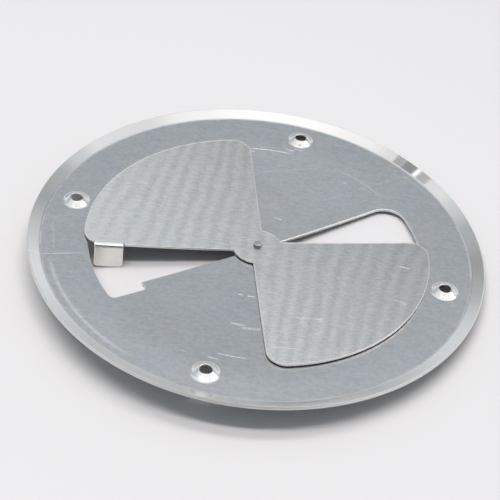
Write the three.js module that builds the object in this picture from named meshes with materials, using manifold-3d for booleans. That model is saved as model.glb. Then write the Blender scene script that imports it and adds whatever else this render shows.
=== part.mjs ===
// Round butterfly ventilator plate for a boat: a stamped aluminium cover plate with two
// quarter openings, and a rotary shutter on its back that opens and closes them.
// Millimetres, +Z up. +Z is the back of the plate, the side that faces the panel that it is
// screwed to. The origin is on the pivot axis, in the plane where the rim meets the panel.
// The shutter is drawn partly open.
//
// The pieces are drawn with Z = 0 on the back surface of the plate's flat annulus, and the
// group that holds them is lowered by the height of the rim at the end.

import * as THREE from 'three';
import { mergeVertices } from 'three/addons/utils/BufferGeometryUtils.js';
import Module from 'manifold-3d';

const wasm = await Module();
wasm.setup();

// ---- driving dimensions -------------------------------------------------------------

const PLATE_R = 63.5; // 127 mm (5 inch) outside diameter
const PLATE_SHEET = 0.9;
const RIM_SLOPE = 24; // degrees, the turned-up rim around the flat annulus
const RIM_HEIGHT = 1.45; // top of the rim above the annulus
const FLAT_R = 50; // the plate is flat outside this radius, and dished inside it
const DISH_DEPTH = 1.45;
const CENTRE_FLAT_R = 7.5; // flat land under the shutter hub

const SHUTTER_SHEET = 0.7;
const SHUTTER_GAP = 0.35; // between the plate and the shutter, set by the washer
const BLADE_R = 48;
const BLADE_CORNER = 5.2;
const BLADE_MARGIN = 1.8; // each straight edge lies this far outside a true quarter
const BLADE_FROM = -80; // degrees, the first edge of the right-hand blade
const BLADE_ANGLE = 90;
const HUB_R = 7;

const OPENING_TO = 36; // degrees, the upper edge of the right-hand opening
const OPENING_ANGLE = 89;
const OPENING_R = 46;
const TAB_OPENING_R = 46.8; // the opening that the tab runs in is cut a little larger
const OPENING_CORNER = 5.8;
const OPENING_MARGIN = -0.2;
const CENTRE_WEB_R = 6.5;

const TAB_FROM = 37.2; // the tab's two ends along the blade's edge, from the centre
const TAB_TO = 45.2;
const TAB_FACE = 2.25; // its outer face, out from the radial line through the centre
const TAB_BEND_R = 1.3; // outer radius of the fold
const TAB_BOTTOM = -7.3;
const TAB_CORNER = 1.2;
const TAB_EDGE = 190; // degrees, the radial line beside the left-hand blade's edge
const TAB_RELIEF = 0.8; // the slit in the blade's edge beside the tab's inner end

const NOTCH_FROM = 36.4;
const NOTCH_DEPTH = 2.8; // how far the tab's notch goes past the opening's radial edge
const NOTCH_REACH = 8; // the notch's cut reaches back past the opening's rounded corner
const NOTCH_INNER_CORNER = 0.8;
const NOTCH_OUTER_CORNER = 1.5;

const SCREW_CIRCLE_R = 53;
const SCREW_FIRST = 80.5; // degrees
const SCREW_COUNT = 4;
const SCREW_HOLE_R = 1.65;
const DIMPLE_R = 3.9;
const DIMPLE_TOP_R = 2.05;
const DIMPLE_HEIGHT = 1.15;
const COUNTERSINK_R = 3.4;

const RIVET_SHANK_R = 0.85;
const RIVET_TAIL_R = 1.12;
const RIVET_TAIL_TOP = 0.8;
const RIVET_TAIL_CHAMFER = 0.15;
const RIVET_HEAD_R = 2.6;
const RIVET_HEAD_HEIGHT = 1;
const RIVET_HOLE_R = 1.02;
const RIVET_PLAY = 0.05; // axial play under the head and under the tail

const WASHER_R = 4.6;
const WASHER_HOLE_R = 1.1;
const WASHER_SHEET = 0.25;

const ROUND_STEPS = 80; // segments in a full turn of the plate and the shutter
const SMALL_STEPS = 32; // segments in a full turn of a hole, the rivet or the washer
const DISH_RINGS = [CENTRE_FLAT_R, 18, 28, 38]; // where the dish is faceted
const SHELL_MARGIN = 1; // the shutter's shell is cut to the blades from this far outside
const CUT = 20; // half height of the cutting bodies

// ---- outlines -----------------------------------------------------------------------

const rad = THREE.MathUtils.degToRad;

function arc(centre, radius, start, end, steps) {
  const points = [];
  for (let i = 0; i <= steps; i += 1) {
    const a = start + ((end - start) * i) / steps;
    points.push(new THREE.Vector2(centre.x + radius * Math.cos(a), centre.y + radius * Math.sin(a)));
  }
  return points;
}

function bearing(point) {
  return Math.atan2(point.y, point.x);
}

// The circle of radius `corner` that rounds the meeting of a straight edge and the outer
// arc. The edge runs along `angle`, and `side` is +1 where it is the sector's last edge
// (counter-clockwise) and -1 where it is the first.
function cornerCentre(angle, margin, side, radius, corner) {
  const off = margin - corner;
  const along = Math.sqrt((radius - corner) ** 2 - off ** 2);
  return new THREE.Vector2(
    along * Math.cos(angle) - side * off * Math.sin(angle),
    along * Math.sin(angle) + side * off * Math.cos(angle),
  );
}

// A sector between two straight edges that each lie `margin` outside a radial line, with
// both outer corners rounded. It starts at the point where the two edges meet.
function sector(fromDegrees, toDegrees, margin, radius, corner) {
  const from = rad(fromDegrees);
  const to = rad(toDegrees);
  const first = cornerCentre(from, margin, -1, radius, corner);
  const last = cornerCentre(to, margin, 1, radius, corner);
  const middle = (from + to) / 2;
  const apex = -margin / Math.sin((to - from) / 2);
  const origin = new THREE.Vector2();
  return [
    new THREE.Vector2(apex * Math.cos(middle), apex * Math.sin(middle)),
    ...arc(first, corner, from - Math.PI / 2, bearing(first), 6),
    ...arc(origin, radius, bearing(first), bearing(last), 16).slice(1, -1),
    ...arc(last, corner, bearing(last), to + Math.PI / 2, 6),
  ];
}

// ---- solids -------------------------------------------------------------------------

function solid(geometry) {
  geometry.deleteAttribute('normal');
  geometry.deleteAttribute('uv');
  const merged = mergeVertices(geometry);
  const index = merged.index.array;
  const triangles = [];
  for (let i = 0; i < index.length; i += 3) {
    const [a, b, c] = index.slice(i, i + 3);
    if (a !== b && b !== c && c !== a) triangles.push(a, b, c);
  }
  const vertProperties = new Float32Array(merged.attributes.position.array);
  const triVerts = new Uint32Array(triangles);
  return new wasm.Manifold(new wasm.Mesh({ numProp: 3, vertProperties, triVerts }));
}

function prism(points, bottom, top) {
  const geometry = new THREE.ExtrudeGeometry(new THREE.Shape(points), {
    depth: top - bottom,
    bevelEnabled: false,
  });
  return solid(geometry.translate(0, 0, bottom));
}

// A profile of (radius, height) pairs turned about the Z axis. It runs counter-clockwise.
function turned(profile, steps) {
  const points = profile.map(([r, z]) => new THREE.Vector2(r, z));
  return solid(new THREE.LatheGeometry(points, steps).rotateX(Math.PI / 2));
}

function disc(radius, bottom, top, steps) {
  return turned([[0, bottom], [radius, bottom], [radius, top], [0, top]], steps);
}

// A body drawn at the centre with +X radial, moved out to `radius` at `degrees`.
function placed(body, radius, degrees) {
  return body.translate([radius, 0, 0]).rotate([0, 0, degrees]);
}

function toMesh(name, body, colour, roughness) {
  const { vertProperties, triVerts, numProp } = body.getMesh();
  const position = new Float32Array((vertProperties.length / numProp) * 3);
  for (let i = 0; i < position.length / 3; i += 1) {
    position.set(vertProperties.subarray(i * numProp, i * numProp + 3), i * 3);
  }
  const geometry = new THREE.BufferGeometry();
  geometry.setAttribute('position', new THREE.BufferAttribute(position, 3));
  geometry.setIndex(new THREE.BufferAttribute(new Uint32Array(triVerts), 1));
  const material = new THREE.MeshStandardMaterial({ color: colour, roughness, metalness: 1 });
  const mesh = new THREE.Mesh(geometry, material);
  mesh.name = name;
  return mesh;
}

// ---- base plate ---------------------------------------------------------------------

// Height of the plate's back surface: a shallow dish with a flat land in its middle.
function plateBack(r) {
  if (r >= FLAT_R) return 0;
  return DISH_DEPTH * ((Math.max(r, CENTRE_FLAT_R) / FLAT_R) ** 2 - 1);
}

function plateBody() {
  const t = PLATE_SHEET;
  const slope = rad(RIM_SLOPE);
  const bend = t * Math.tan(slope / 2);
  const edgeBottom = [PLATE_R, RIM_HEIGHT - t * Math.cos(slope)];
  const edgeTop = [PLATE_R - t * Math.sin(slope), RIM_HEIGHT];
  const creaseBack = edgeTop[0] - RIM_HEIGHT / Math.tan(slope);
  const rings = [...DISH_RINGS, FLAT_R];
  const front = rings.map((r) => [r, plateBack(r) - t]);
  const back = rings.map((r) => [r, plateBack(r)]).reverse();
  return turned([
    [0, plateBack(0) - t],
    ...front,
    [creaseBack + bend, -t],
    edgeBottom,
    edgeTop,
    [creaseBack, 0],
    ...back,
    [0, plateBack(0)],
  ], ROUND_STEPS);
}

// One quarter opening, its point cut off by the web that carries the rivet.
function opening(turn, radius) {
  const outline = sector(
    OPENING_TO - OPENING_ANGLE,
    OPENING_TO,
    OPENING_MARGIN,
    radius,
    OPENING_CORNER,
  );
  const web = disc(CENTRE_WEB_R, -2 * CUT, 2 * CUT, SMALL_STEPS);
  return prism(outline, -CUT, CUT).subtract(web).rotate([0, 0, turn]);
}

// The notch beside the left-hand opening, which takes the tab when the shutter closes.
// It is drawn with its radial line along +X and its depth along +Y.
function tabNotch() {
  const outer = cornerCentre(0, NOTCH_DEPTH, 1, TAB_OPENING_R, NOTCH_OUTER_CORNER);
  const inner = new THREE.Vector2(
    NOTCH_FROM + NOTCH_INNER_CORNER,
    NOTCH_DEPTH - NOTCH_INNER_CORNER,
  );
  const start = -Math.asin(NOTCH_REACH / TAB_OPENING_R);
  const outline = [
    new THREE.Vector2(NOTCH_FROM, -NOTCH_REACH),
    ...arc(new THREE.Vector2(), TAB_OPENING_R, start, bearing(outer), 4),
    ...arc(outer, NOTCH_OUTER_CORNER, bearing(outer), Math.PI / 2, 4).slice(1),
    ...arc(inner, NOTCH_INNER_CORNER, Math.PI / 2, Math.PI, 3),
  ];
  return prism(outline, -CUT, CUT).rotate([0, 0, OPENING_TO + 180]);
}

function screwDimple(plate, degrees) {
  const t = PLATE_SHEET;
  const boss = turned([
    [0, -t / 2],
    [DIMPLE_R, -t / 2],
    [DIMPLE_R, 0],
    [DIMPLE_TOP_R, DIMPLE_HEIGHT],
    [0, DIMPLE_HEIGHT],
  ], SMALL_STEPS);
  const sink = turned([
    [0, -CUT],
    [COUNTERSINK_R, -CUT],
    [COUNTERSINK_R, -t],
    [SCREW_HOLE_R, DIMPLE_HEIGHT - t],
    [SCREW_HOLE_R, CUT],
    [0, CUT],
  ], SMALL_STEPS);
  return plate
    .add(placed(boss, SCREW_CIRCLE_R, degrees))
    .subtract(placed(sink, SCREW_CIRCLE_R, degrees));
}

function basePlate() {
  let plate = plateBody()
    .subtract(opening(0, OPENING_R))
    .subtract(opening(180, TAB_OPENING_R))
    .subtract(tabNotch())
    .subtract(disc(RIVET_HOLE_R, -CUT, CUT, SMALL_STEPS));
  for (let i = 0; i < SCREW_COUNT; i += 1) {
    plate = screwDimple(plate, SCREW_FIRST + (360 / SCREW_COUNT) * i);
  }
  return toMesh('base_plate', plate, 0xa2a7ab, 0.34);
}

// ---- shutter ------------------------------------------------------------------------

// The shutter follows the plate's dish at a constant distance from it.
function shutterUnder(r) {
  return plateBack(r) + SHUTTER_GAP;
}

function shutterShell() {
  const rings = [...DISH_RINGS, BLADE_R + SHELL_MARGIN];
  const under = rings.map((r) => [r, shutterUnder(r)]);
  const over = rings.map((r) => [r, shutterUnder(r) + SHUTTER_SHEET]).reverse();
  return turned([
    [0, shutterUnder(0)],
    ...under,
    ...over,
    [0, shutterUnder(0) + SHUTTER_SHEET],
  ], ROUND_STEPS);
}

// The blade's slope across the tab: its rise from one end of the tab to the other.
function tabSlope() {
  return (shutterUnder(TAB_TO) - shutterUnder(TAB_FROM)) / (TAB_TO - TAB_FROM);
}

// A vertical prism whose heights follow the blade's slope along X.
function tabPrism(points, depth, place) {
  const geometry = new THREE.ExtrudeGeometry(new THREE.Shape(points), {
    depth,
    bevelEnabled: false,
  });
  const slope = tabSlope();
  const middle = (TAB_FROM + TAB_TO) / 2;
  const follow = new THREE.Matrix4().set(
    1, 0, 0, 0,
    0, 1, 0, 0,
    slope, 0, 1, -slope * middle,
    0, 0, 0, 1,
  );
  return solid(geometry.applyMatrix4(place).applyMatrix4(follow));
}

// The finger tab, drawn with its radial line along +X and its outer face towards +Y. It
// leaves the blade flat, folds down through a right angle and ends in rounded corners.
function fingerTab() {
  const top = shutterUnder((TAB_FROM + TAB_TO) / 2) + SHUTTER_SHEET;
  const centre = new THREE.Vector2(TAB_FACE - TAB_BEND_R, top - TAB_BEND_R);
  const root = centre.x - TAB_BEND_R;
  const fold = [
    new THREE.Vector2(root, top - SHUTTER_SHEET),
    ...arc(centre, TAB_BEND_R - SHUTTER_SHEET, Math.PI / 2, 0, 5),
    ...arc(centre, TAB_BEND_R, 0, Math.PI / 2, 7),
    new THREE.Vector2(root, top),
  ];
  // The section's X becomes +Y and its Y becomes +Z, extruded along +X.
  const across = new THREE.Matrix4()
    .makeBasis(new THREE.Vector3(0, 1, 0), new THREE.Vector3(0, 0, 1), new THREE.Vector3(1, 0, 0))
    .setPosition(TAB_FROM, 0, 0);
  const inner = new THREE.Vector2(TAB_FROM + TAB_CORNER, TAB_BOTTOM + TAB_CORNER);
  const outer = new THREE.Vector2(TAB_TO - TAB_CORNER, TAB_BOTTOM + TAB_CORNER);
  const finger = [
    new THREE.Vector2(TAB_FROM, centre.y),
    ...arc(inner, TAB_CORNER, Math.PI, 1.5 * Math.PI, 4),
    ...arc(outer, TAB_CORNER, -0.5 * Math.PI, 0, 4),
    new THREE.Vector2(TAB_TO, centre.y),
  ];
  const upright = new THREE.Matrix4().makeRotationX(Math.PI / 2).setPosition(0, TAB_FACE, 0);
  return tabPrism(fold, TAB_TO - TAB_FROM, across)
    .add(tabPrism(finger, SHUTTER_SHEET, upright));
}

// What is cut from the blade's edge to let the tab fold down, with the slit beside it.
function tabClearance() {
  const from = TAB_FROM - TAB_RELIEF;
  const edge = TAB_FACE - TAB_BEND_R;
  return prism([
    new THREE.Vector2(from, edge),
    new THREE.Vector2(TAB_TO, edge),
    new THREE.Vector2(TAB_TO, edge + TAB_FACE),
    new THREE.Vector2(from, edge + TAB_FACE),
  ], -CUT, CUT);
}

function shutter() {
  const outline = sector(
    BLADE_FROM,
    BLADE_FROM + BLADE_ANGLE,
    BLADE_MARGIN,
    BLADE_R,
    BLADE_CORNER,
  );
  const blade = prism(outline, -CUT, CUT);
  const body = blade
    .add(blade.rotate([0, 0, 180]))
    .add(disc(HUB_R, -CUT, CUT, SMALL_STEPS))
    .intersect(shutterShell())
    .subtract(tabClearance().rotate([0, 0, TAB_EDGE]))
    .add(fingerTab().rotate([0, 0, TAB_EDGE]))
    .subtract(disc(RIVET_HOLE_R, -CUT, CUT, SMALL_STEPS));
  return toMesh('shutter', body, 0xb9bdc1, 0.3);
}

// ---- pivot --------------------------------------------------------------------------

// The low domed head on the front of the plate, from its middle out to its edge.
function rivetHead(under, steps) {
  const points = [];
  for (let i = 0; i <= steps; i += 1) {
    const a = (Math.PI / 2) * (i / steps);
    points.push([RIVET_HEAD_R * Math.sin(a), under - RIVET_HEAD_HEIGHT * Math.cos(a)]);
  }
  return points;
}

function pivotRivet() {
  const under = plateBack(0) - PLATE_SHEET - RIVET_PLAY;
  const over = shutterUnder(0) + SHUTTER_SHEET + RIVET_PLAY;
  const body = turned([
    ...rivetHead(under, 6),
    [RIVET_SHANK_R, under],
    [RIVET_SHANK_R, over],
    [RIVET_TAIL_R, over],
    [RIVET_TAIL_R, RIVET_TAIL_TOP - RIVET_TAIL_CHAMFER],
    [RIVET_TAIL_R - RIVET_TAIL_CHAMFER, RIVET_TAIL_TOP],
    [0, RIVET_TAIL_TOP],
  ], SMALL_STEPS);
  return toMesh('pivot_rivet', body, 0xc2c5c6, 0.28);
}

function frictionWasher() {
  const bottom = plateBack(0) + (SHUTTER_GAP - WASHER_SHEET) / 2;
  const body = disc(WASHER_R, bottom, bottom + WASHER_SHEET, SMALL_STEPS)
    .subtract(disc(WASHER_HOLE_R, -CUT, CUT, SMALL_STEPS));
  return toMesh('friction_washer', body, 0x9a9c9e, 0.4);
}

// ---- assembly -----------------------------------------------------------------------

const ventilator = new THREE.Group();
ventilator.position.z = -RIM_HEIGHT;
ventilator.add(basePlate(), shutter(), pivotRivet(), frictionWasher());

export default ventilator;
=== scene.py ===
"""Looks for a stamped aluminium butterfly ventilator plate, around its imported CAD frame.

The plate lies on a pale table, back upwards. It rests on the finger tab of its shutter and
on the bend of its rim, so the table is tilted a little in the plate's own frame.
Drawing sizes are in millimetres and become metres when a mesh is made. Angles are in
degrees unless a comment says radians. Heights in the drawings are above the back surface of
the plate's flat annulus.
"""

from math import acos, asin, atan, atan2, ceil, cos, degrees, hypot, pi, radians, sin, sqrt, tan

import bpy
import numpy as np
from mathutils import Matrix, Vector, geometry, kdtree


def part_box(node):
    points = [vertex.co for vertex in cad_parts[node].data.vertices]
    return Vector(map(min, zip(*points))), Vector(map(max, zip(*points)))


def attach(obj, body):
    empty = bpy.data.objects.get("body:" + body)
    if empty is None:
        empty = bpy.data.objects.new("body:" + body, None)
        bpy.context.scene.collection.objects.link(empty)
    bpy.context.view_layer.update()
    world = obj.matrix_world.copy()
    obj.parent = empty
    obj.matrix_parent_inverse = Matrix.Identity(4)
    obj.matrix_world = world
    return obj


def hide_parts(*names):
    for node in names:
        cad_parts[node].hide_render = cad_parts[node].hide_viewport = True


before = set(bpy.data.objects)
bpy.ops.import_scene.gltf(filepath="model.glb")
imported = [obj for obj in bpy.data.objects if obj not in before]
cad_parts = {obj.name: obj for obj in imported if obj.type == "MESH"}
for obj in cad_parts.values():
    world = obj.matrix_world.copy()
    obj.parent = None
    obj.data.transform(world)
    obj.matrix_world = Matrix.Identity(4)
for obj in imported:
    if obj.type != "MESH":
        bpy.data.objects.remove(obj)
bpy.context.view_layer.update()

# ---- sizes ---------------------------------------------------------------------------

MM = 0.001
PLATE_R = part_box("base_plate")[1].x / MM
RIM_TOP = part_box("base_plate")[1].z / MM
RIM_HEIGHT = 1.45
DATUM = RIM_TOP - RIM_HEIGHT  # the back of the flat annulus, in the frame

PLATE_SHEET = 0.9
RIM_SLOPE = radians(24)  # kept in radians
CREASE_FILLET = 0.32  # half the width of the bend between annulus and rim
FLAT_R = 50.0
DISH_DEPTH = 1.45
DISH_EASE = 4.0  # the dish runs out into the annulus over this much on each side of FLAT_R
CENTRE_FLAT_R = 7.5
RIM_ARRIS = 0.06  # an arris is the radius that rounds a cut edge over
OPENING_ARRIS = 0.42
TAB_OPENING_ARRIS = 0.36

SHUTTER_SHEET = 0.7
SHUTTER_GAP = 0.35
BLADE_R = 48.0
BLADE_CORNER = 5.2
BLADE_MARGIN = 1.8  # a blade's straight edges lie this far outside the radii at its angles
BLADE_FROM, BLADE_TO = -80.0, 10.0
BLADE_ARRIS = 0.11
BLADE_BURR = 0.06  # how high the burr along the cut edge stands
HUB_R = 7.0

OPENING_FROM, OPENING_TO = -53.0, 36.0
OPENING_R = 46.0
TAB_OPENING_R = 46.8
OPENING_CORNER = 5.8
OPENING_MARGIN = -0.2  # the same for an opening, whose edges lie inside its radii
WEB_R = 6.5  # of the solid middle between the openings

TAB_EDGE = 190.0  # the angle of the blade edge that the tab hangs from
TAB_FROM, TAB_TO = 37.2, 45.2  # along that edge, from the pivot
TAB_FACE = 2.25  # its outer face, out from the radius at TAB_EDGE
TAB_BEND_R = 1.3
TAB_BOTTOM = -7.3
TAB_CORNER = 1.2
TAB_RELIEF = 0.25  # the slit beside it

NOTCH_FROM = 36.4  # along the opening's edge, from the pivot
NOTCH_DEPTH = 2.8
NOTCH_INNER_CORNER = 0.8
NOTCH_OUTER_CORNER = 1.5
NOTCH_LIP = 0.5

SCREW_CIRCLE_R = 53.0
SCREW_ANGLES = [80.5 + 90 * i for i in range(4)]
SCREW_HOLE_R = 1.65
SCREW_HOLE_ARRIS = 0.3
SCREW_HOLE_WOBBLE = 0.035  # how far the torn mouth is from round, as a part of its radius
DIMPLE_R = 4.0
DIMPLE_TOP_R = 1.75
DIMPLE_HEIGHT = 1.15
PUNCH_THINNING = 0.3  # the sheet is thinner by this much at the mouth of a dimple

RIVET_SHANK_R = 0.85
RIVET_HOLE_R = 1.02
RIVET_HOLE_ARRIS = 0.1
SHUTTER_HOLE_ARRIS = 0.08  # of the rivet's hole in the shutter
RIVET_PLAY = 0.05
RIVET_TOP = 0.8
RIVET_TAIL_R = 1.12
RIVET_HEAD_R = 2.6
RIVET_HEAD_HEIGHT = 1.0
WASHER_HOLE_R = 1.1
WASHER_R = 4.6
WASHER_THICKNESS = 0.25
WASHER_PLAY = 0.05
WASHER_EASE = 0.06  # the chamfer of its corners

GRID_STEP = 1.2  # between the points inside a sheet's mesh
RIM_POINTS = 400  # round the rim
RIM_STEP = 360 / RIM_POINTS


def polar(radius, angle):
    """The point at a radius and an angle, counted from +X towards +Y."""
    return (radius * cos(radians(angle)), radius * sin(radians(angle)))


# ---- outlines ------------------------------------------------------------------------


def arc(centre, radius, start, end, step=0.5):
    """Points on an arc, its angles in radians, about `step` apart."""
    count = max(2, ceil(abs(end - start) * radius / step))
    turns = [start + (end - start) * i / count for i in range(count + 1)]
    return [(centre[0] + radius * cos(a), centre[1] + radius * sin(a)) for a in turns]


def turned(points, angle):
    """The points turned about the pivot."""
    c, s = cos(radians(angle)), sin(radians(angle))
    return [(x * c - y * s, x * s + y * c) for x, y in points]


def closed_loop(points, step=0.8):
    """Drops repeated points and fills the straight runs with points at most `step` apart."""
    loop = []
    for i, p in enumerate(points):
        q = points[(i + 1) % len(points)]
        length = hypot(q[0] - p[0], q[1] - p[1])
        count = ceil(length / step) if length > 1e-6 else 0
        loop += [
            (p[0] + (q[0] - p[0]) * k / count, p[1] + (q[1] - p[1]) * k / count)
            for k in range(count)
        ]
    return loop


def corner_centre(margin, radius, corner):
    """For a straight edge along +X at Y = margin and an outer arc, the centre of their corner."""
    y = margin - corner
    return sqrt((radius - corner) ** 2 - y**2), y


def first_corner(angle, margin, radius, corner, step=0.5):
    """The rounded corner from a sector's first edge to its outer arc."""
    x, y = corner_centre(margin, radius, corner)
    return turned(arc((x, -y), corner, -pi / 2, atan2(-y, x), step), angle)


def last_corner(angle, margin, radius, corner, step=0.5):
    """The rounded corner from a sector's outer arc to its last edge."""
    x, y = corner_centre(margin, radius, corner)
    return turned(arc((x, y), corner, atan2(y, x), pi / 2, step), angle)


def outer_arc(start_points, end_points, radius):
    """The outer arc between the end of one corner and the start of the next."""
    a = atan2(start_points[-1][1], start_points[-1][0])
    b = atan2(end_points[0][1], end_points[0][0])
    return arc((0, 0), radius, a, b if b > a else b + 2 * pi)[1:-1]


def web_arc():
    """The web round the rivet, from the opening's last edge back to its first."""
    shift = asin(OPENING_MARGIN / WEB_R)
    return arc((0, 0), WEB_R, radians(OPENING_TO) + shift, radians(OPENING_FROM) - shift)


def plain_opening():
    """The opening on the right, a plain sector."""
    first = first_corner(OPENING_FROM, OPENING_MARGIN, OPENING_R, OPENING_CORNER)
    last = last_corner(OPENING_TO, OPENING_MARGIN, OPENING_R, OPENING_CORNER)
    return closed_loop(first + outer_arc(first, last, OPENING_R) + last + web_arc())


def tab_opening():
    """The other opening, with the notch that takes the tab when the shutter is closed."""
    first = first_corner(OPENING_FROM, OPENING_MARGIN, TAB_OPENING_R, OPENING_CORNER)
    x, y = corner_centre(NOTCH_DEPTH, TAB_OPENING_R, NOTCH_OUTER_CORNER)
    inner = (NOTCH_FROM + NOTCH_INNER_CORNER, NOTCH_DEPTH - NOTCH_INNER_CORNER)
    lip = (NOTCH_FROM - NOTCH_LIP, OPENING_MARGIN + NOTCH_LIP)
    notch = arc((x, y), NOTCH_OUTER_CORNER, atan2(y, x), pi / 2, 0.25)
    notch += arc(inner, NOTCH_INNER_CORNER, pi / 2, pi, 0.2)
    notch += arc(lip, NOTCH_LIP, 0, -pi / 2, 0.15)
    notch = turned(notch, OPENING_TO)
    outline = first + outer_arc(first, notch, TAB_OPENING_R) + notch + web_arc()
    return closed_loop(turned(outline, 180))


def tab_blank_length():
    """The tab's length on the flat blank: round the outside of its fold, then straight."""
    top = shutter_back((TAB_FROM + TAB_TO) / 2)
    return TAB_BEND_R * pi / 2 + (top - TAB_BEND_R) - TAB_BOTTOM


def blade_with_tab():
    """The outer end of the left blade and its tab, laid flat, in the tab edge's own frame."""
    x, y = corner_centre(BLADE_MARGIN, BLADE_R, BLADE_CORNER)
    meets_tab = acos((TAB_TO - x) / BLADE_CORNER)
    bend = TAB_FACE - TAB_BEND_R
    tip = bend + tab_blank_length()
    outer = (TAB_TO - TAB_CORNER, tip - TAB_CORNER)
    inner = (TAB_FROM + TAB_CORNER, tip - TAB_CORNER)
    side = closed_loop([(TAB_TO, y + BLADE_CORNER * sin(meets_tab)), (TAB_TO, outer[1])], 0.18)
    back = closed_loop([(TAB_FROM, inner[1]), (TAB_FROM, bend)], 0.18)
    return (
        arc((x, y), BLADE_CORNER, atan2(y, x), meets_tab)
        + side[: len(side) // 2 + 1]
        + arc(outer, TAB_CORNER, 0, pi / 2, 0.2)
        + arc(inner, TAB_CORNER, pi / 2, pi, 0.2)
        + back[: len(back) // 2 + 1]
        + [(TAB_FROM - TAB_RELIEF, bend), (TAB_FROM - TAB_RELIEF, BLADE_MARGIN)]
    )


def shutter_outline():
    """Both blades and the hub, counter-clockwise, with the tab laid flat."""
    shift = degrees(asin(BLADE_MARGIN / HUB_R))
    outline = []
    for turn in (0, 180):
        first = first_corner(BLADE_FROM + turn, BLADE_MARGIN, BLADE_R, BLADE_CORNER)
        if turn:
            last = turned(blade_with_tab(), TAB_EDGE)
        else:
            last = last_corner(BLADE_TO, BLADE_MARGIN, BLADE_R, BLADE_CORNER)
        start, end = BLADE_TO + turn + shift, BLADE_FROM + turn + 180 - shift
        hub = arc((0, 0), HUB_R, radians(start), radians(end))
        outline += first + outer_arc(first, last, BLADE_R) + last + hub
    return closed_loop(outline)


# ---- surfaces ------------------------------------------------------------------------


def dish(r):
    """Height of the plate's back inside the rim: a shallow dish with a flat middle."""
    inner, outer = FLAT_R - DISH_EASE, FLAT_R + DISH_EASE
    if r >= outer:
        return 0.0
    if r <= inner:
        return DISH_DEPTH * ((max(r, CENTRE_FLAT_R) / FLAT_R) ** 2 - 1)
    t = (r - inner) / (outer - inner)
    start = DISH_DEPTH * ((inner / FLAT_R) ** 2 - 1)
    slope = 2 * DISH_DEPTH * inner / FLAT_R**2 * (outer - inner)
    return start * (1 + 2 * t) * (1 - t) ** 2 + slope * t * (1 - t) ** 2


def shutter_back(r):
    """Height of the shutter's back at radius r: it follows the dish."""
    return dish(r) + SHUTTER_GAP + SHUTTER_SHEET


CREASE_R = PLATE_R - PLATE_SHEET * sin(RIM_SLOPE) - RIM_HEIGHT / tan(RIM_SLOPE)
EDGE_R = PLATE_R - PLATE_SHEET * sin(RIM_SLOPE)  # the rim's outer edge on its back surface


def rim(r):
    """(height, slope angle in radians) of the turned-up rim at radius r."""
    rise = r - CREASE_R
    if rise <= -CREASE_FILLET:
        return 0.0, 0.0
    if rise >= CREASE_FILLET:
        return rise * tan(RIM_SLOPE), RIM_SLOPE
    t = (rise + CREASE_FILLET) / (2 * CREASE_FILLET)
    return t * t * CREASE_FILLET * tan(RIM_SLOPE), atan(t * tan(RIM_SLOPE))


def smooth_ramp(value, low, high):
    """0 up to low, 1 from high on, and a smooth change between them."""
    t = min(max((value - low) / (high - low), 0.0), 1.0)
    return t * t * (3 - 2 * t)


def nearest_screw(x, y):
    """The distance from a point to the nearest screw hole's centre."""
    return min(
        hypot(x - cx, y - cy)
        for cx, cy in (polar(SCREW_CIRCLE_R, a) for a in SCREW_ANGLES)
    )


def plate_point(x, y, depth):
    """The plate's blank at (x, y), `depth` below its back surface, after pressing."""
    r = hypot(x, y)
    height, slope = rim(r)
    reach = nearest_screw(x, y)
    swell = 1 - smooth_ramp(reach, DIMPLE_TOP_R, DIMPLE_R)
    thin = 1 - PUNCH_THINNING / PLATE_SHEET * swell
    out = 1 + depth * sin(slope) / r if r else 1.0
    z = dish(r) + height + DIMPLE_HEIGHT * swell - depth * thin * cos(slope)
    return x * out, y * out, z


def shutter_point(x, y, depth):
    """The shutter's blank at (x, y), `depth` below its back, with the tab folded down."""
    (u, v), = turned([(x, y)], -TAB_EDGE)
    bend = TAB_FACE - TAB_BEND_R
    if v <= bend or not TAB_FROM - 0.01 <= u <= TAB_TO + 0.01:
        return x, y, shutter_back(hypot(x, y)) - depth
    top = shutter_back(hypot(u, bend))
    along = v - bend
    turn = min(along / TAB_BEND_R, pi / 2)
    straight = max(along - TAB_BEND_R * pi / 2, 0)
    v = bend + (TAB_BEND_R - depth) * sin(turn)
    z = top - TAB_BEND_R + (TAB_BEND_R - depth) * cos(turn) - straight
    (x, y), = turned([(u, v)], TAB_EDGE)
    return x, y, z


# ---- sheet-metal meshes --------------------------------------------------------------

ROUNDING = [1.0, 0.72, 0.38, 0.12, 0.0]  # rings round an arris: 1 at the cut, 0 on the flat
BURR_WIDTH = 0.28
BURR_RINGS = 3
HOLD_GAP = 0.07  # from the arris or the burr to a last ring, which holds the flat
GRID_CLEARANCE = 0.2  # between the widest rings and the grid
OFF_RINGS = -1  # the level of a point that is on no ring


def inset(loop, distance, inwards):
    """A closed loop moved into the material, to its left when `inwards`, else to its right."""
    p = np.array(loop)
    forward = np.roll(p, -1, 0) - p
    forward /= np.linalg.norm(forward, axis=1)[:, None]
    normal = np.stack([-forward[:, 1], forward[:, 0]], 1)
    mean = normal + np.roll(normal, 1, 0)
    mean /= np.linalg.norm(mean, axis=1)[:, None]
    stretch = 1 / np.clip((mean * normal).sum(1), 0.6, 1)
    side = 1 if inwards else -1
    return p + side * distance * mean * stretch[:, None]


def inside(points, loop):
    """Which points lie inside a closed loop."""
    a, b = np.array(loop), np.roll(np.array(loop), -1, 0)
    x, y = points[:, :1], points[:, 1:]
    spans = (a[:, 1] > y) != (b[:, 1] > y)
    with np.errstate(divide="ignore", invalid="ignore"):
        cross = a[:, 0] + (y - a[:, 1]) * (b[:, 0] - a[:, 0]) / (b[:, 1] - a[:, 1])
    return (spans & (x < cross)).sum(1) % 2 == 1


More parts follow.
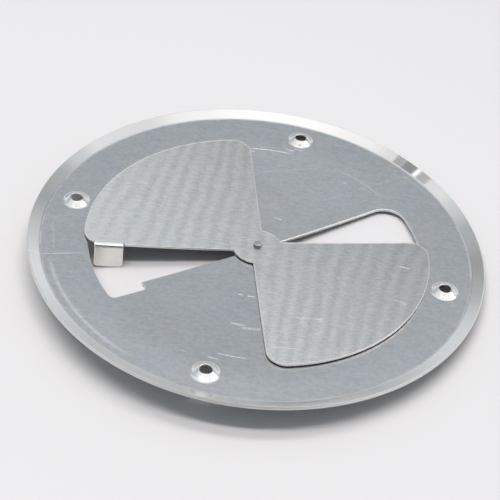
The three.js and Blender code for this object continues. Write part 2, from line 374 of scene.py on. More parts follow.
def arris_drop(radius, distance):
    """How far an arris of this radius has dropped at a distance from the cut edge."""
    if distance >= radius:
        return 0.0
    return radius - sqrt(radius**2 - (radius - distance) ** 2)


def within(points, outline, holes):
    """Which points lie on the sheet's material."""
    keep = inside(points, outline)
    for hole, _ in holes:
        keep &= ~inside(points, hole)
    return keep


def edge_rings(loops, burr):
    """Rings of points along every cut edge, from the cut to just past its arris.

    Gives the points; for each its (drop, rise of the burr, share of the edge's look); its
    level, 0 on the cut; the segments of the rings; and (first point, count, inwards) of each
    cut.
    """
    flat, drops, levels, segments, walls = [], [], [], [], []
    for loop, radius, inwards in loops:
        lip = burr if inwards else 0.0
        worn = radius + (BURR_WIDTH if lip else 0)
        distances = [radius * (1 - sin(r * pi / 2)) for r in ROUNDING]
        if lip:
            distances += [radius + BURR_WIDTH * (k + 1) / BURR_RINGS for k in range(BURR_RINGS)]
        distances.append(worn + HOLD_GAP)
        for level, distance in enumerate(distances):
            first = len(flat)
            count = len(loop)
            flat += [tuple(p) for p in inset(loop, distance, inwards)]
            raised = lip * (1 - smooth_ramp(distance, radius, radius + BURR_WIDTH))
            look = 1 - smooth_ramp(distance, 0, worn)
            drops += [(arris_drop(radius, distance), raised, look)] * count
            levels += [level] * count
            segments += [(first + i, first + (i + 1) % count) for i in range(count)]
            if level == 0:
                walls.append((first, count, inwards))
    return flat, drops, levels, segments, walls


def clear_of(points, grid, clearance):
    """The points of a grid that are further than the clearance from all other points."""
    tree = kdtree.KDTree(len(points))
    for i, (x, y) in enumerate(points):
        tree.insert((x, y, 0), i)
    tree.balance()
    return [p for p in grid if tree.find((p[0], p[1], 0))[2] > clearance]


def pressed_sheet(name, outline, arris, holes, grid, point, sheet, burr=0.0):
    """A closed mesh of pressed sheet metal, with every cut edge rounded over.

    outline is a closed loop on the blank, holes are pairs of a loop and its arris, grid is
    points between them, and point(x, y, depth) says where a point of the blank ends up. A
    burr stands up by so much along the outline, just inside the back arris.
    """
    loops = [(outline, arris, True)] + [(hole, radius, False) for hole, radius in holes]
    flat, drops, levels, segments, walls = edge_rings(loops, burr)
    clearance = max(radius for _, radius, _ in loops) + BURR_WIDTH + GRID_CLEARANCE
    kept = clear_of(flat, grid, clearance)
    chosen = np.flatnonzero(within(np.array(kept), outline, holes))
    flat += [kept[i] for i in chosen]
    drops += [(0.0, 0.0, 0.0)] * len(chosen)
    levels += [OFF_RINGS] * len(chosen)

    # Triangles between the points. Those with all corners on a cut may lie in a hole.
    cut = geometry.delaunay_2d_cdt([Vector(p) for p in flat], segments, [], 0, 1e-6)
    spots = np.array([(v.x, v.y) for v in cut[0]])
    source = [ids[0] for ids in cut[3]]
    back_at = {i: k for k, i in enumerate(source)}
    triangles = [tuple(f) for f in cut[2]]
    on_edge = np.array([levels[i] == 0 for i in source])
    doubtful = [i for i, f in enumerate(triangles) if all(on_edge[v] for v in f)]
    middles = np.array([spots[list(triangles[i])].mean(0) for i in doubtful])
    real = within(middles, outline, holes)
    waste = {i for i, ok in zip(doubtful, real) if not ok}

    # Both faces of the sheet, and walls that join them along the cuts.
    total = len(spots)
    back, front = [], []
    for (x, y), i in zip(spots, source):
        drop, raised, _ = drops[i]
        back.append(point(x, y, drop - raised))
        front.append(point(x, y, sheet - drop))
    faces = []
    for i, (a, b, c) in enumerate(triangles):
        if i not in waste:
            faces += [(a, b, c), (c + total, b + total, a + total)]
    for first, count, inwards in walls:
        for k in range(count):
            a, b = back_at[first + k], back_at[first + (k + 1) % count]
            if not inwards:
                a, b = b, a
            faces.append((a + total, b + total, b, a))
    obj = mesh_object(name, back + front, faces)
    paint(obj, "cut_edge", [drops[i][2] for i in source] * 2)
    paint(obj, "front_face", [0.0] * total + [1.0] * total)
    return obj


def paint(obj, name, values):
    """Stores one number for each point of a mesh, for its material to read."""
    layer = obj.data.attributes.new(name, "FLOAT", "POINT")
    layer.data.foreach_set("value", values)


def mesh_object(name, points, faces):
    """A smooth-shaded object from points in drawing millimetres."""
    mesh = bpy.data.meshes.new(name)
    placed = [(x * MM, y * MM, (z + DATUM) * MM) for x, y, z in points]
    mesh.from_pydata(placed, [], faces)
    mesh.validate()
    mesh.polygons.foreach_set("use_smooth", [True] * len(mesh.polygons))
    obj = bpy.data.objects.new(name, mesh)
    bpy.context.scene.collection.objects.link(obj)
    return obj


def polar_grid(radii, spacing):
    """Points on rings, each ring turned half a step from the last."""
    points = []
    for k, r in enumerate(radii):
        count = max(6, round(2 * pi * r / spacing))
        points += [polar(r, 360 * (i + 0.5 * (k % 2)) / count) for i in range(count)]
    return points


def lathe(name, profile, count=96):
    """A closed turned piece from (radius, height) pairs, from one end of the axis round to
    the other, or back to its start where it has a hole."""
    points, rings = [], []
    for r, z in profile:
        if r < 1e-6:
            rings.append([len(points)])
            points.append((0, 0, z))
        else:
            rings.append(list(range(len(points), len(points) + count)))
            points += [(*polar(r, 360 * i / count), z) for i in range(count)]
    faces = []
    pairs = list(zip(rings, rings[1:]))
    if profile[0][0] > 1e-6:
        pairs.append((rings[-1], rings[0]))
    for low, high in pairs:
        for i in range(count):
            j = (i + 1) % count
            if len(low) == 1:
                faces.append((low[0], high[j], high[i]))
            elif len(high) == 1:
                faces.append((low[i], low[j], high[0]))
            else:
                faces.append((low[i], low[j], high[j], high[i]))
    return mesh_object(name, points, faces)


# ---- pieces --------------------------------------------------------------------------


def screw_hole(angle):
    """The mouth of a screw hole, torn a little out of round."""
    centre = polar(SCREW_CIRCLE_R, angle)
    ring = arc((0, 0), SCREW_HOLE_R, 0, 2 * pi, 0.18)[:-1]
    torn = [1 + SCREW_HOLE_WOBBLE * sin(3 * atan2(y, x) + angle) for x, y in ring]
    return [(centre[0] + x * k, centre[1] + y * k) for (x, y), k in zip(ring, torn)]


def rivet_hole():
    return arc((0, 0), RIVET_HOLE_R, 0, 2 * pi, 0.2)[:-1]


def base_plate():
    """The cover plate: a dished disc with a rim, two openings and dimpled screw holes."""
    outline = arc((0, 0), EDGE_R, 0, 2 * pi, 2 * pi * EDGE_R / RIM_POINTS)[:-1]
    holes = [(plain_opening(), OPENING_ARRIS), (tab_opening(), TAB_OPENING_ARRIS)]
    holes += [(screw_hole(a), SCREW_HOLE_ARRIS) for a in SCREW_ANGLES]
    holes.append((rivet_hole(), RIVET_HOLE_ARRIS))
    grid = [
        p
        for p in polar_grid(np.arange(2.2, FLAT_R + 8.5, GRID_STEP), GRID_STEP)
        if nearest_screw(*p) > DIMPLE_R + 0.8
    ]
    # Rings beside the crease and up the rim, then close ones over the bend.
    rings = [-0.7, 0.75, 1.2, 1.8, 2.4]
    rings += [CREASE_FILLET * (k / 3 - 1) * 1.2 for k in range(7)]
    for ring in rings:
        grid += [polar(CREASE_R + ring, RIM_STEP * i) for i in range(RIM_POINTS)]
    # Small rings over the dimples.
    for angle in SCREW_ANGLES:
        x, y = polar(SCREW_CIRCLE_R, angle)
        for r in np.arange(SCREW_HOLE_R + 0.55, DIMPLE_R + 0.7, 0.25):
            grid += arc((x, y), r, 0, 2 * pi, 0.35)[:-1]
    plate = pressed_sheet(
        "vent_plate", outline, RIM_ARRIS, holes, grid, plate_point, PLATE_SHEET
    )
    reach = [nearest_screw(v.co.x / MM, v.co.y / MM) for v in plate.data.vertices]
    paint(plate, "pressed", [1 - smooth_ramp(r, DIMPLE_R - 0.2, DIMPLE_R + 0.4) for r in reach])
    return plate


def shutter():
    """Two blades and a hub in one sheet, with a finger tab folded down from the left blade."""
    grid = polar_grid(np.arange(2.0, BLADE_R, GRID_STEP), GRID_STEP)
    bend = TAB_FACE - TAB_BEND_R
    folded = TAB_BEND_R * pi / 2
    # Rows of points along the tab's edge, close together over its fold.
    rows = [bend + folded * k / 12 for k in range(-3, 13)]
    rows += list(np.arange(bend + folded + 0.6, bend + tab_blank_length(), 0.6))
    columns = np.arange(TAB_FROM + 0.5, TAB_TO, 0.5)
    clear = [p for p in grid if not near_tab(p)]
    clear += turned([(u, v) for u in columns for v in rows], TAB_EDGE)
    blades = pressed_sheet(
        "vent_shutter", shutter_outline(), BLADE_ARRIS, [(rivet_hole(), SHUTTER_HOLE_ARRIS)],
        clear, shutter_point, SHUTTER_SHEET, BLADE_BURR,
    )
    spots = turned([(v.co.x / MM, v.co.y / MM) for v in blades.data.vertices], -TAB_EDGE)
    on_tab = [TAB_FROM - 0.1 < u < TAB_TO + 0.1 and v > bend + 0.05 for u, v in spots]
    paint(blades, "folded", [float(tab) for tab in on_tab])
    return blades


def near_tab(p):
    """Whether a point of the polar grid is where the tab has a finer grid of its own."""
    (u, v), = turned([p], -TAB_EDGE)
    return TAB_FROM - 1 < u < TAB_TO + 1 and -0.2 < v < 4


def rivet():
    """The pivot: a low domed head in front, a shank, and a peened tail on the back."""
    under = dish(0) - PLATE_SHEET - RIVET_PLAY
    over = shutter_back(0) + RIVET_PLAY
    top, tail = RIVET_TOP, RIVET_TAIL_R
    head = [
        (RIVET_HEAD_R * sin(a), under - RIVET_HEAD_HEIGHT * cos(a))
        for a in (pi / 2 * k / 10 for k in range(11))
    ]
    profile = head + [
        (RIVET_HEAD_R - 0.1, under),
        (RIVET_SHANK_R, under),
        (RIVET_SHANK_R, over),
        (tail, over),
        (tail, over + 0.08),
        (tail - 0.04, top - 0.28),
        (tail - 0.12, top - 0.1),
        (tail - 0.35, top - 0.02),
        (tail - 0.6, top),
        (0, top),
    ]
    return lathe("pivot_pin", profile)


def washer():
    """The friction washer between the plate and the hub."""
    bottom = dish(0) + WASHER_PLAY
    top = bottom + WASHER_THICKNESS
    outer, inner, ease = WASHER_R, WASHER_HOLE_R, WASHER_EASE
    profile = [
        (inner + ease, bottom),
        (outer - ease, bottom),
        (outer, bottom + ease),
        (outer, top - ease),
        (outer - ease, top),
        (inner + ease, top),
        (inner, top - ease),
        (inner, bottom + ease),
    ]
    return lathe("spacer_washer", profile)


# ---- materials -----------------------------------------------------------------------


def feed(tree, socket, value):
    """Feeds a socket from another node's output, or sets it to a plain value."""
    if isinstance(value, bpy.types.NodeSocket):
        tree.links.new(value, socket)
    else:
        socket.default_value = value


def math_node(tree, operation, a, b=0.0, c=0.0, clamp=False):
    """The output of a Math node on up to three sockets or numbers."""
    node = tree.nodes.new("ShaderNodeMath")
    node.operation = operation
    node.use_clamp = clamp
    for socket, value in zip(node.inputs, (a, b, c)):
        feed(tree, socket, value)
    return node.outputs[0]


class Metal:
    """A Principled metal, and short calls for the nodes that vary it over a piece.

    Lengths in the calls are millimetres in the piece's own frame.
    """

    def __init__(self, name):
        self.material = bpy.data.materials.new(name)
        self.material.use_nodes = True
        self.tree = self.material.node_tree
        self.shader = self.tree.nodes["Principled BSDF"]
        self.shader.inputs["Metallic"].default_value = 1
        raw = self.tree.nodes.new("ShaderNodeTexCoord").outputs["Object"]
        self.at = self.scaled(raw, (1 / MM, 1 / MM, 1 / MM))
        split = self.tree.nodes.new("ShaderNodeSeparateXYZ")
        self.tree.links.new(self.at, split.inputs[0])
        self.x, self.y, self.z = split.outputs
        self.radius = self.math("SQRT", self.math("ADD", self.math("MULTIPLY", self.x, self.x),
                                                  self.math("MULTIPLY", self.y, self.y)))
        self.turn = self.math("DEGREES", self.math("ARCTAN2", self.y, self.x))

    def set(self, socket, value):
        feed(self.tree, socket, value)

    def math(self, operation, a, b=0.0, c=0.0):
        return math_node(self.tree, operation, a, b, c)

    def scaled(self, vector, factors):
        """A vector with its parts multiplied by three factors."""
        node = self.tree.nodes.new("ShaderNodeVectorMath")
        node.operation = "MULTIPLY"
        self.set(node.inputs[0], vector)
        node.inputs[1].default_value = factors
        return node.outputs[0]

    def noise(self, per_mm, detail=2.0, roughness=0.5, shift=0.0):
        """Noise from 0 to 1 with so many waves per millimetre along X, Y and Z."""
        node = self.tree.nodes.new("ShaderNodeTexNoise")
        node.noise_dimensions = "4D"
        node.inputs["W"].default_value = shift
        node.inputs["Scale"].default_value = 1
        node.inputs["Detail"].default_value = detail
        node.inputs["Roughness"].default_value = roughness
        self.tree.links.new(self.scaled(self.at, per_mm), node.inputs["Vector"])
        return node.outputs["Fac"]

    def fade(self, value, start, end, low=0.0, high=1.0):
        """low at start, high at end, and a smooth change between them."""
        node = self.tree.nodes.new("ShaderNodeMapRange")
        node.interpolation_type = "SMOOTHSTEP"
        for socket, number in zip(node.inputs, (value, start, end, low, high)):
            self.set(socket, number)
        return node.outputs[0]

    def mix(self, factor, a, b):
        """Colour a where the factor is 0, b where it is 1."""
        node = self.tree.nodes.new("ShaderNodeMix")
        node.data_type = "RGBA"
        self.set(node.inputs["Factor"], factor)
        self.set(node.inputs[6], a)
        self.set(node.inputs[7], b)
        return node.outputs[2]

    def shaded(self, colour, factor):
        """A colour times a number."""
        node = self.tree.nodes.new("ShaderNodeVectorMath")
        node.operation = "SCALE"
        self.set(node.inputs[0], colour)
        self.set(node.inputs["Scale"], factor)
        return node.outputs[0]

    def painted(self, name):
        """A number that paint() stored on the mesh."""
        node = self.tree.nodes.new("ShaderNodeAttribute")
        node.attribute_name = name
        return node.outputs["Fac"]

    def arc_mark(self, radius, first, last, half_width):
        """1 along an arc round the pivot, between two angles from -180 to 180 degrees."""
        off = self.math("ABSOLUTE", self.math("SUBTRACT", self.radius, radius))
        along = self.math("ABSOLUTE", self.math("SUBTRACT", self.turn, (first + last) / 2))
        half = (last - first) / 2
        return self.math("MULTIPLY", self.fade(off, half_width, 0),
                         self.fade(along, half, half * 0.7))

    def line_mark(self, start, end, half_width):
        """1 along a straight line between two points."""
        node = self.tree.nodes.new("ShaderNodeMapping")
        node.vector_type = "TEXTURE"
        dx, dy = end[0] - start[0], end[1] - start[1]
        node.inputs["Location"].default_value = (start[0] + dx / 2, start[1] + dy / 2, 0)
        node.inputs["Rotation"].default_value = (0, 0, atan2(dy, dx))
        self.tree.links.new(self.at, node.inputs["Vector"])
        split = self.tree.nodes.new("ShaderNodeSeparateXYZ")
        self.tree.links.new(node.outputs[0], split.inputs[0])
        off = self.math("ABSOLUTE", split.outputs[1])
        along = self.math("ABSOLUTE", split.outputs[0])
        half = hypot(dx, dy) / 2
        return self.math("MULTIPLY", self.fade(off, half_width, 0),
                         self.fade(along, half, half * 0.75))

    def marks(self, arcs, lines):
        """The strongest of several marks, broken up a little and only on the back."""
        total = 0.0
        for *place, strength in arcs:
            mark = self.math("MULTIPLY", self.arc_mark(*place), strength)
            total = self.math("MAXIMUM", total, mark)
        for *place, strength in lines:
            mark = self.math("MULTIPLY", self.line_mark(*place), strength)
            total = self.math("MAXIMUM", total, mark)
        breaks = self.noise((1.9, 1.9, 1.9), detail=3, roughness=0.7, shift=5.0)
        gaps = self.fade(breaks, 0.34, 0.52)
        back = self.math("SUBTRACT", 1, self.painted("front_face"))
        return self.math("MULTIPLY", total, self.math("MULTIPLY", gaps, back))

    def scatter(self, marks, share):
        """Scratched metal throws light every way: up to this share of it isn't mirrored."""
        self.set(self.shader.inputs["Metallic"], self.math("MULTIPLY_ADD", marks, -share, 1))

    def bump(self, height, distance):
        """Bump from a height between 0 and 1 that stands for `distance` millimetres."""
        node = self.tree.nodes.new("ShaderNodeBump")
        node.inputs["Strength"].default_value = 1
        node.inputs["Distance"].default_value = distance * MM
        self.tree.links.new(height, node.inputs["Height"])
        self.tree.links.new(node.outputs[0], self.shader.inputs["Normal"])

    def finish(self, colour, roughness):
        """Sets the colour and roughness, and gives the finished material."""
        self.set(self.shader.inputs["Base Color"], colour)
        self.set(self.shader.inputs["Roughness"], roughness)
        return self.material


# Wear on the back of the plate, round the pivot where the shutter has rubbed, and straight.
PLATE_ARCS = [  # radius, first angle, last angle, half-width, strength
    (45.5, 81.5, 98.5, 0.22, 1.0),
    (48.2, 78.0, 81.5, 0.25, 0.8),
    (47.1, 81.0, 84.6, 0.22, 0.8),
    (44.2, 95.4, 98.8, 0.2, 0.9),
    (45.3, 41.0, 65.0, 0.2, 0.4),
    (15.3, 67.0, 77.0, 0.2, 1.0),
    (20.4, -100.0, -96.0, 0.22, 1.0),
    (20.4, -93.0, -86.5, 0.22, 1.0),
    (32.4, -98.0, -90.0, 0.7, 0.4),
    (33.4, -93.0, -82.5, 0.8, 0.35),
    (45.2, -99.0, -88.0, 0.2, 0.9),
    (47.4, -101.0, -97.0, 0.2, 0.8),
    (48.2, -109.5, -106.5, 0.2, 0.35),
    (57.6, -165.0, -118.0, 0.9, 0.3),
]
PLATE_LINES = [  # start, end, half-width, strength
    ((-62.5, -17.6), (-45.0, -12.9), 0.2, 0.6),
    ((-58.6, -0.5), (-51.5, 2.3), 0.18, 0.35),
    ((-57.2, -0.5), (-54.6, -14.0), 0.2, 0.25),
    ((14.5, 23.5), (43.0, 42.5), 0.22, 0.25),
    ((-4.5, 34.0), (18.5, 41.0), 0.2, 0.25),
    ((40.0, 42.3), (46.8, 34.8), 0.25, 0.25),
    ((46.4, 30.2), (50.8, 29.4), 0.2, 0.4),
    ((22.5, 34.6), (23.9, 34.2), 0.2, 0.7),
]
BLADE_LINES = [
    ((11.8, -27.7), (20.2, -27.2), 0.2, 0.8),
    ((39.6, -1.5), (42.8, -2.1), 0.22, 0.9),
    ((38.2, -15.7), (42.2, -17.7), 0.22, 0.5),
    ((6.8, -40.7), (13.4, -40.1), 0.2, 0.8),
]
BLADE_NICKS = [
    ((-27.2, 15.4), (-27.6, 11.0), 0.25, 0.8),
    ((-27.4, 11.5), (-28.6, 7.8), 0.22, 0.7),
    ((2.4, -11.4), (5.1, -12.2), 0.22, 0.8),
]


# Colours. A pair is the dark and the light end of a grain.
PLATE_COOL = (0.615, 0.642, 0.656, 1), (0.776, 0.794, 0.81, 1)
PLATE_WARM = (0.633, 0.636, 0.642, 1), (0.797, 0.792, 0.796, 1)
PLATE_FRONT = (0.78, 0.78, 0.77, 1)
PLATE_PRESSED = (0.94, 0.905, 0.87, 1)
PLATE_WORN_AND_CREASE_HIGHLIGHT = (0.97, 0.97, 0.97, 1)
PLATE_CUT = (0.74, 0.72, 0.69, 1)
BLADE_COOL = (0.616, 0.621, 0.621, 1), (1, 1, 0.985, 1)
BLADE_WARM = (0.633, 0.618, 0.614, 1), (1, 0.997, 0.974, 1)
BLADE_FRONT = (0.4, 0.4, 0.4, 1)
BLADE_FOLDED = (0.7, 0.695, 0.665, 1)
BLADE_CUT = (0.84, 0.82, 0.785, 1)
BLADE_WORN = (1.0, 1.0, 1.0, 1)
BLADE_NICKED = (0.35, 0.36, 0.38, 1)
RIVET_GREYS = (0.38, 0.38, 0.365, 1), (0.66, 0.66, 0.63, 1)
RIVET_FOOT_SHADE = (0.1, 0.1, 0.1, 1)
WASHER_GREYS = (0.42, 0.42, 0.42, 1), (0.6, 0.6, 0.59, 1)

ROLLER_WAVE = 4.6  # from one soft band across the blades to the next
PLATE_SCATTER = 0.36  # the share of the light that a full scratch doesn't mirror
BLADE_SCATTER = 0.15


def plate_metal():
    """Rolled aluminium: satin with a fine grain along X, burnished where it was pressed."""
    look = Metal("plate_aluminium")
    grain = look.noise((0.25, 1.7, 1.7), detail=3, roughness=0.65)
    mottle = look.noise((0.8, 0.9, 0.9), detail=3, roughness=0.65, shift=3.0)
    cloud = look.noise((0.06, 0.06, 0.06), detail=2, roughness=0.5, shift=9.0)
    drift = look.noise((0.1, 0.14, 0.14), detail=2, roughness=0.5, shift=12.0)
    hue = look.fade(drift, 0.3, 0.7)
    rim = look.fade(look.radius, CREASE_R - 0.2, CREASE_R + 0.5)
    dimple = look.painted("pressed")
    pressed = look.math("MAXIMUM", rim, dimple)
    # Painted highlight: a light line along the crease, lit in patches where the shine noise is
    # high.
    off_crease = look.math("ABSOLUTE", look.math("SUBTRACT", look.radius, CREASE_R - 0.1))
    shine = look.noise((0.12, 0.12, 0.12), detail=2, roughness=0.6, shift=11.0)
    painted_crease_highlight = look.math("MULTIPLY", look.fade(off_crease, 0.4, 0.05),
                       look.fade(shine, 0.35, 0.65, 0.08, 0.5))
    marks = look.marks(PLATE_ARCS, PLATE_LINES)
    look.scatter(marks, PLATE_SCATTER)
    # wear here is the scratch marks together with the painted crease highlight.
    wear = look.math("MAXIMUM", marks, painted_crease_highlight)
    tone = look.math("MULTIPLY_ADD", look.fade(grain, 0.3, 0.7), 0.4,
                     look.math("MULTIPLY", look.fade(mottle, 0.3, 0.7), 0.6))
    cool = look.mix(tone, *PLATE_COOL)
    warm = look.mix(tone, *PLATE_WARM)
    colour = look.mix(hue, cool, warm)
    colour = look.mix(look.painted("front_face"), colour, PLATE_FRONT)
    colour = look.mix(look.math("MULTIPLY", pressed, 0.8), colour, PLATE_PRESSED)
    colour = look.mix(wear, colour, PLATE_WORN_AND_CREASE_HIGHLIGHT)
    cut = look.painted("cut_edge")
    colour = look.mix(look.math("MULTIPLY", cut, 0.8), colour, PLATE_CUT)
    rough = look.math("MULTIPLY_ADD", cloud, 0.07, 0.22)
    rough = look.math("MULTIPLY_ADD", grain, 0.08, rough)
    rough = look.math("MULTIPLY", rough, look.math("MULTIPLY_ADD", dimple, -0.35, 1))
    polish = look.math("MULTIPLY", rim, look.fade(look.y, -30, 15, -0.35, -0.88))
    rough = look.math("MULTIPLY", rough, look.math("ADD", polish, 1))
    rough = look.math("MULTIPLY_ADD", wear, 0.22, rough)
    rough = look.math("MULTIPLY_ADD", cut, 0.3, rough)
    relief = look.math("MULTIPLY", look.math("MULTIPLY_ADD", rim, -0.96, 1),
                       look.math("MULTIPLY_ADD", dimple, -0.4, 1))
    look.bump(look.math("MULTIPLY_ADD", grain, relief, look.math("MULTIPLY", wear, 0.6)), 0.018)
    return look.finish(colour, rough)


def shutter_metal():
    """Mill-finish aluminium: a coarser grain of short dashes, crossed by soft roller bands."""
    look = Metal("shutter_aluminium")
    dashes = look.noise((0.45, 2.6, 2.6), detail=3, roughness=0.65, shift=1.0)
    speckle = look.noise((1.1, 1.5, 1.5), detail=2, roughness=0.6, shift=4.0)
    drift = look.noise((0.16, 0.12, 0.16), detail=2, roughness=0.5, shift=12.0)
    hue = look.fade(drift, 0.35, 0.65)
    slant = look.math("MULTIPLY", look.y, look.math("MULTIPLY", look.math("ABSOLUTE", look.x),
                                                    -0.005))
    waver = look.noise((0.09, 0.05, 0.09), detail=2, roughness=0.6, shift=2.0)
    phase = look.math("MULTIPLY_ADD", waver, 5.0, look.math("ADD", look.x, slant))
    bands = look.math("SINE", look.math("MULTIPLY", phase, 2 * pi / ROLLER_WAVE))
    patches = look.noise((0.12, 0.05, 0.12), detail=1, roughness=0.5, shift=6.0)
    bands = look.math("MULTIPLY", bands, look.fade(patches, 0.25, 0.6, 0.25, 1))
    tone = look.math("MULTIPLY_ADD", look.fade(dashes, 0.3, 0.7), 0.36,
                     look.math("MULTIPLY_ADD", bands, 0.15,
                               look.math("MULTIPLY_ADD", look.fade(speckle, 0.3, 0.7), 0.28, 0.18)))
    wear = look.marks([], BLADE_LINES)
    look.scatter(wear, BLADE_SCATTER)
    nicks = look.marks([], BLADE_NICKS)
    cool = look.mix(tone, *BLADE_COOL)
    warm = look.mix(tone, *BLADE_WARM)
    colour = look.mix(hue, cool, warm)
    # Painted light falloff: the blades grow darker towards +X and +Y and lighter towards the front
    # left.
    across = look.math("ADD", look.x, look.y)
    colour = look.shaded(colour, look.math("MULTIPLY_ADD", across, -0.0043, 1))
    colour = look.mix(look.painted("front_face"), colour, BLADE_FRONT)
    folded = look.painted("folded")
    colour = look.mix(look.math("MULTIPLY", folded, 0.75), colour, BLADE_FOLDED)
    cut = look.painted("cut_edge")
    colour = look.mix(look.math("MULTIPLY", cut, 0.8), colour, BLADE_CUT)
    colour = look.mix(wear, colour, BLADE_WORN)
    colour = look.mix(look.math("MULTIPLY", nicks, 0.5), colour, BLADE_NICKED)
    rough = look.math("MULTIPLY_ADD", dashes, 0.12, 0.3)
    rough = look.math("MULTIPLY", rough, look.math("MULTIPLY_ADD", folded, -0.4, 1))
    rough = look.math("MULTIPLY_ADD", wear, 0.2, rough)
    rough = look.math("MULTIPLY_ADD", cut, 0.2, rough)
    look.bump(look.math("MULTIPLY_ADD", dashes, 1.0, wear), 0.014)
    return look.finish(colour, rough)


def rivet_metal():
    """Peened aluminium, hammered, and darkened by painted shade low down, where it meets the hub.
    """
    look = Metal("rivet_aluminium")
    hammered = look.noise((2.2, 2.2, 2.2), detail=2, roughness=0.5, shift=7.0)
    colour = look.mix(hammered, *RIVET_GREYS)
    # Painted shade: the lower part of the rivet darkens towards the hub.
    low = look.fade(look.z, RIVET_TOP + DATUM - 0.15, RIVET_TOP + DATUM - 0.6)
    colour = look.mix(look.math("MULTIPLY", low, 0.75), colour, RIVET_FOOT_SHADE)
    look.bump(hammered, 0.06)
    return look.finish(colour, look.math("MULTIPLY_ADD", hammered, 0.2, 0.38))


def washer_metal():
    """Plain rolled steel."""
    look = Metal("washer_steel")
    grain = look.noise((0.6, 5.0, 5.0), detail=3, roughness=0.6, shift=8.0)
    colour = look.mix(grain, *WASHER_GREYS)
    look.bump(grain, 0.01)
    return look.finish(colour, look.math("MULTIPLY_ADD", grain, 0.2, 0.28))


# ---- table, light and camera ---------------------------------------------------------

# The plate rests on the lower inner corner of its tab and on the bend of its rim.
TABLE_LEAN = 53.0  # the direction in which the rim touches the table
TABLE_RIM_R = CREASE_R + 0.3
TAB_TOUCH_R, TAB_TOUCH_ANGLE = 38.5, 193.0
TAB_TOUCH_DEPTH = -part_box("shutter")[0].z / MM + DATUM - PLATE_SHEET
TABLE_SLOPE = TAB_TOUCH_DEPTH / (
    TABLE_RIM_R - TAB_TOUCH_R * cos(radians(TAB_TOUCH_ANGLE - TABLE_LEAN))
)
TABLE_REACH = 1500  # half the width of its top
TABLE_WHITE = (0.522, 0.522, 0.524, 1)


def table_height(x, y):
    """Height of the tilted table under a point of the plate's frame."""
    along = x * cos(radians(TABLE_LEAN)) + y * sin(radians(TABLE_LEAN))
    return -PLATE_SHEET + TABLE_SLOPE * (along - TABLE_RIM_R)


def table():
    """A matt white top, wide enough to fill the picture."""
    corners = [(x * TABLE_REACH, y * TABLE_REACH) for x, y in ((-1, -1), (1, -1), (1, 1), (-1, 1))]
    obj = mesh_object("table", [(x, y, table_height(x, y)) for x, y in corners], [(0, 1, 2, 3)])
    material = bpy.data.materials.new("table_white")
    material.use_nodes = True
    shader = material.node_tree.nodes["Principled BSDF"]
    shader.inputs["Base Color"].default_value = TABLE_WHITE
    shader.inputs["Roughness"].default_value = 0.9
    shader.inputs["Specular IOR Level"].default_value = 0.2
    obj.data.materials.append(material)


CAMERA_ELEVATION = 39.83
CAMERA_ROLL = 7.86
CAMERA_LENS = 106.3
# Where the middle of the plate lies from the camera: to its right, below its axis and ahead.
CAMERA_AIM = Vector((2.12, -1.43, 410.0))


def camera():
    """Looks along +Y and down, rolled to match the tilt of the table."""
    elevation, roll = radians(CAMERA_ELEVATION), radians(CAMERA_ROLL)
    forward = Vector((0, cos(elevation), -sin(elevation)))
    right = Vector((1, 0, 0))
    down = forward.cross(right)
    across = right * cos(roll) - down * sin(roll)
    below = right * sin(roll) + down * cos(roll)
    place = -(across * CAMERA_AIM.x + below * CAMERA_AIM.y + forward * CAMERA_AIM.z)
    data = bpy.data.cameras.new("camera")
    data.sensor_width = 36
    data.lens = CAMERA_LENS
    obj = bpy.data.objects.new("camera", data)
    turn = Matrix((across, -below, -forward)).transposed()
    shift = Vector((0, 0, DATUM))
    obj.matrix_world = Matrix.Translation((place + shift) * MM) @ turn.to_4x4()
    bpy.context.scene.collection.objects.link(obj)
    bpy.context.scene.camera = obj


def direction(azimuth, elevation):
    """A unit vector, its azimuth counted from +Y towards +X."""
    a, e = radians(azimuth), radians(elevation)
    return (sin(a) * cos(e), cos(a) * cos(e), sin(e))


# The unseen room: its brightness by the height of a direction, Z from -1 (down) to 1 (up).
ROOM_HEIGHTS = [(-1.0, 0.5), (0.0, 0.44), (0.08, 0.46), (0.21, 0.72), (0.28, 0.78),
                (0.36, 0.7), (0.47, 0.5), (0.58, 0.38), (0.68, 0.435), (0.75, 0.64),
                (0.8, 0.8), (0.9, 0.78), (0.95, 1.0), (1.0, 1.18)]
ROOM_SIDES = 0.25  # the side walls are brighter than the far one by up to this much
ROOM_FRONT = 0.1  # the brightness of the wall behind the camera
FRONT_TAPER = 1.2  # how fast that wall narrows to the sides
FRONT_FADE = 2.5  # and how sharply it begins
ROOM_TINTS = [(0.94, 0.86), (1.0, 1.0), (1.055, 1.12)]  # red, green, blue: far and near walls
NEAR_TINT_FADE = 1.4  # how sharply the far wall's tint turns into the near wall's
TINT_TOP = (3.0, -2.2)  # how the tints fade out high up: a slope and an offset, on Z
ROOM_CARDS = [  # azimuth, elevation, half-width in degrees, softness, change of brightness
    (14, 37, 8, 0.5, -0.05),
    (-23, 29, 7, 0.5, -0.06),
    (22, 24, 9, 0.5, 0.1),
    (-4, 2, 3, 0.5, -0.25),
    (-46.0, 61.3, 1.4, 0.08, -0.5),
    (-47.1, 63.65, 0.9, 0.12, -0.36),
    (-45.1, 59.5, 0.5, 0.2, 0.4),
    (-44.3, 57.9, 1.3, 0.3, -0.32),
]


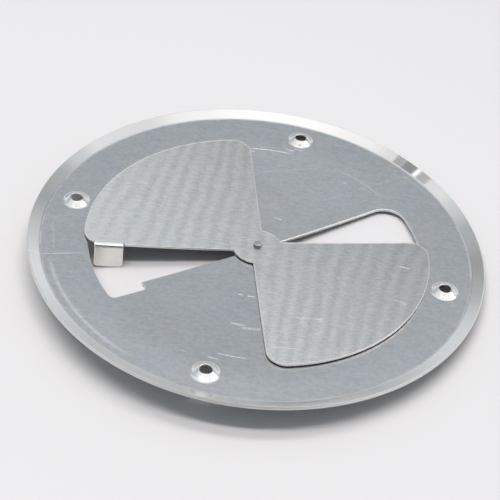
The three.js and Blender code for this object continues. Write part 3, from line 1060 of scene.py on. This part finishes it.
def room_light():
    """A soft world whose brightness depends only on direction."""
    world = bpy.data.worlds.new("studio")
    bpy.context.scene.world = world
    world.use_nodes = True
    tree = world.node_tree
    where = tree.nodes.new("ShaderNodeTexCoord").outputs["Generated"]
    split = tree.nodes.new("ShaderNodeSeparateXYZ")
    tree.links.new(where, split.inputs[0])

    def calc(operation, a, b, c=0.0, clamp=False):
        return math_node(tree, operation, a, b, c, clamp)

    ramp = tree.nodes.new("ShaderNodeValToRGB")
    ramp.color_ramp.interpolation = "EASE"
    stops = ramp.color_ramp.elements
    for i, (z, level) in enumerate(ROOM_HEIGHTS):
        stop = stops[i] if i < 2 else stops.new(1.0)
        stop.position = (z + 1) / 2
        stop.color = (level, level, level, 1)
    tree.links.new(calc("MULTIPLY_ADD", split.outputs["Z"], 0.5, 0.5), ramp.inputs[0])
    level = ramp.outputs[0]
    side = calc("MULTIPLY", split.outputs["X"], split.outputs["X"])
    level = calc("MULTIPLY_ADD", side, ROOM_SIDES, level)
    aside = calc("ABSOLUTE", split.outputs["X"], 0)
    front = calc("MULTIPLY_ADD", aside, FRONT_TAPER, split.outputs["Y"])
    front = calc("MULTIPLY", front, -FRONT_FADE, clamp=True)
    level = calc("ADD", calc("MULTIPLY", level, calc("SUBTRACT", 1, front)),
                 calc("MULTIPLY", front, ROOM_FRONT))
    for azimuth, elevation, width, softness, change in ROOM_CARDS:
        dot = tree.nodes.new("ShaderNodeVectorMath")
        dot.operation = "DOT_PRODUCT"
        tree.links.new(where, dot.inputs[0])
        dot.inputs[1].default_value = direction(azimuth, elevation)
        near = cos(radians(width * (1 - softness)))
        far = cos(radians(width * (1 + softness)))
        inside_card = calc("MULTIPLY", calc("SUBTRACT", dot.outputs["Value"], far),
                           1 / (near - far), clamp=True)
        level = calc("MULTIPLY_ADD", inside_card, change, level)
    mix = tree.nodes.new("ShaderNodeCombineColor")
    nearness = calc("MULTIPLY", split.outputs["Y"], -NEAR_TINT_FADE, clamp=True)
    high = calc("MULTIPLY_ADD", split.outputs["Z"], *TINT_TOP, clamp=True)
    for i, (far_tint, near_tint) in enumerate(ROOM_TINTS):
        tint = calc("MULTIPLY_ADD", nearness, near_tint - far_tint, far_tint)
        tint = calc("ADD", tint, calc("MULTIPLY", high, calc("SUBTRACT", 1.0, tint)))
        tree.links.new(calc("MULTIPLY", level, tint), mix.inputs[i])
    tree.links.new(mix.outputs[0], tree.nodes["Background"].inputs["Color"])


LIGHT_COLOUR = (1.0, 0.945, 0.935)
LAMPS = [  # name, X, Y, height, length, width in metres, radiance
    ("front_strip", -0.1, -0.26, 0.9, 0.8, 0.09, 29.5),
    ("middle_strip", -0.1, 0.06, 0.9, 0.8, 0.15, 9.5),
]
CARDS = [
    ("front_card", -0.1, -0.55, 0.74, 0.9, 0.6, 1.45),
    ("right_card", 0.65, 0.1, 0.75, 0.5, 0.6, 2.0),
]


def strip_light(name, x, y, height, length, width, radiance, card=False):
    """A rectangle along X above the plate, aimed at it: a lamp, or a bright card.

    A lamp lights the scene and doesn't show in the metal. A card only shows in it.
    """
    light = bpy.data.lights.new(name, "AREA")
    light.shape = "RECTANGLE"
    light.size, light.size_y = length, width
    light.energy = radiance * length * width * pi
    light.color = LIGHT_COLOUR
    obj = bpy.data.objects.new(name, light)
    obj.visible_diffuse = not card
    obj.visible_glossy = card
    place = Vector((x, y, height))
    away = place.normalized()
    across = (Vector((1, 0, 0)) - away * away.x).normalized()
    turn = Matrix((across, away.cross(across), away)).transposed()
    obj.matrix_world = Matrix.Translation(place) @ turn.to_4x4()
    bpy.context.scene.collection.objects.link(obj)


def studio():
    """The room, its lamps and its cards."""
    room_light()
    for lamp in LAMPS:
        strip_light(*lamp)
    for card in CARDS:
        strip_light(*card, card=True)
    bpy.context.scene.view_settings.view_transform = "Standard"


# ---- scene ---------------------------------------------------------------------------

camera()
table()
studio()
for maker, metal, body, node, slot in (
    (base_plate, plate_metal, "cover", "base_plate", "plate_aluminium"),
    (shutter, shutter_metal, "shutter", "shutter", "shutter_aluminium"),
    (rivet, rivet_metal, "cover", "pivot_rivet", "rivet_aluminium"),
    (washer, washer_metal, "cover", "friction_washer", "washer_steel"),
):
    piece = maker()
    piece.data.materials.append(metal())
    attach(piece, body)
    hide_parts(node)
